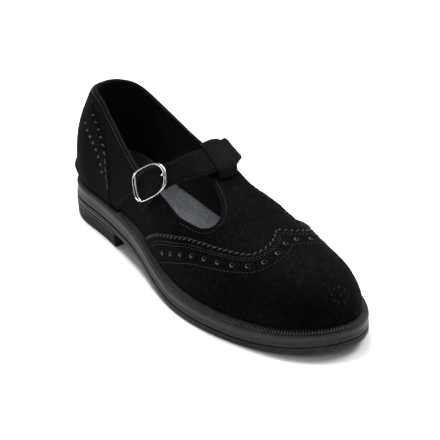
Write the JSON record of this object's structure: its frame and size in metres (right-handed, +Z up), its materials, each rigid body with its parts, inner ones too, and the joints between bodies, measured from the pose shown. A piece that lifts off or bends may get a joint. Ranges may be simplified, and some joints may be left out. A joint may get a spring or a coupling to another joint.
{
  "type": "t-bar wing-tip shoe",
  "caption": "Right-foot suede T-bar shoe with a wing tip, heel counter, buckled strap, ribbed welt and low heeled rubber sole.",
  "frame": {"origin": "on the floor under the middle of the shoe's box", "axes": "+X towards the toe, +Y towards the medial (big toe) side, +Z up"},
  "size_m": [0.2562, 0.094, 0.0906],
  "materials": {
    "black_suede": "dyed suede",
    "panel_suede": "dyed suede",
    "grey_rubber": "satin",
    "welt_rubber": "satin",
    "insole_leather": "grained",
    "polished_silver": "polished"
  },
  "bodies": {
    "root": {"outsole": "grey_rubber", "midsole": "grey_rubber", "heel_block": "grey_rubber", "welt": "welt_rubber", "insole": "insole_leather", "upper": "black_suede", "wing_tip": "panel_suede", "heel_counter": "panel_suede", "quarter_lateral": "panel_suede", "quarter_medial": "panel_suede", "strap": "black_suede", "bar_loop": "black_suede", "buckle_frame": "polished_silver", "buckle_prong": "polished_silver"}
  },
  "joints": []
}
